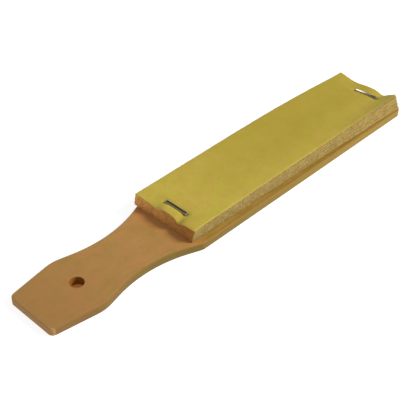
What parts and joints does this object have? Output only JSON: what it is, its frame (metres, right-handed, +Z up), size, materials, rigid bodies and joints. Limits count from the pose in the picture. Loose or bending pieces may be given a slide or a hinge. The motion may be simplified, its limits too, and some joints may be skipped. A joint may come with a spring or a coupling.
{
  "type": "sandpaper pointer paddle",
  "caption": "Flat wooden hand paddle with a waisted handle and a hang hole, carrying a stapled pad of abrasive sheets for pointing pencils and touching up small tools.",
  "frame": {"origin": "middle of the board's length and width, on the board's underside", "axes": "+X from the handle's tip towards the blade's end, +Y across the board, +Z up out of the pad"},
  "size_m": [0.178, 0.031, 0.0084],
  "materials": {
    "wood": "bare sanded hardwood, fine straight grain",
    "abrasive_sheet": "yellow fine-grit abrasive on buff paper",
    "staple_steel": "galvanised flat wire"
  },
  "bodies": {
    "root": {"paddle": "wood", "sheet_01": "abrasive_sheet", "sheet_02": "abrasive_sheet", "sheet_03": "abrasive_sheet", "sheet_04": "abrasive_sheet", "sheet_05": "abrasive_sheet", "sheet_06": "abrasive_sheet", "sheet_07": "abrasive_sheet", "sheet_08": "abrasive_sheet", "sheet_09": "abrasive_sheet", "sheet_10": "abrasive_sheet", "sheet_11": "abrasive_sheet", "sheet_12": "abrasive_sheet", "handle_staple": "staple_steel", "far_staple": "staple_steel"}
  },
  "joints": []
}
